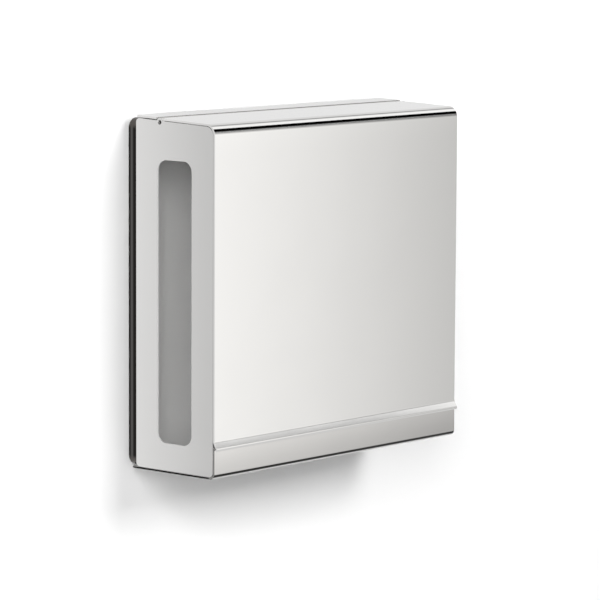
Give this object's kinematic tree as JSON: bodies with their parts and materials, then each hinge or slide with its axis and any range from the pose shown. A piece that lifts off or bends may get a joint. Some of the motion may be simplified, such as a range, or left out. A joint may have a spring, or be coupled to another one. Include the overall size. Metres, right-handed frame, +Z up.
{
  "type": "paper towel dispenser",
  "caption": "Wall-mounted stainless steel dispenser for folded paper towels, with a lift-up front flap, side windows and an outlet underneath.",
  "frame": {"origin": "middle of the four wall screw holes, on the wall face of the wall plate", "axes": "+X to the right seen from the front, +Y into the wall, +Z up; the front faces -Y"},
  "size_m": [0.286, 0.0915, 0.2684],
  "materials": {
    "satin_steel": "bright satin stainless sheet",
    "polished_steel": "polished stainless sheet",
    "plated_steel": "plain bright steel",
    "white_nylon": "moulded nylon",
    "grey_plastic": "fine moulded texture"
  },
  "bodies": {
    "housing": {"wall_plate": "polished_steel", "side_panel_left": "satin_steel", "side_panel_right": "satin_steel", "top_strip": "satin_steel", "strip_spacers": "plated_steel", "strip_nuts": "plated_steel", "hinge_bracket_left": "plated_steel", "hinge_bracket_right": "plated_steel", "hinge_washer_left": "white_nylon", "hinge_washer_right": "white_nylon", "outlet_tray": "satin_steel", "outlet_bezel": "grey_plastic", "stack_guide_left": "satin_steel", "stack_guide_right": "satin_steel", "guide_rivets": "plated_steel", "tray_rivets_left": "plated_steel", "tray_rivets_right": "plated_steel"},
    "flap": {"front_flap": "satin_steel", "flap_stiffener": "plated_steel", "hinge_rod": "plated_steel"}
  },
  "joints": [
    {"name": "flap_hinge", "type": "hinge", "parent": "housing", "child": "flap", "pos_m": [0, -0.0334, 0.13067], "axis": [-1, 0, 0], "range_deg": [0, 90]}
  ]
}
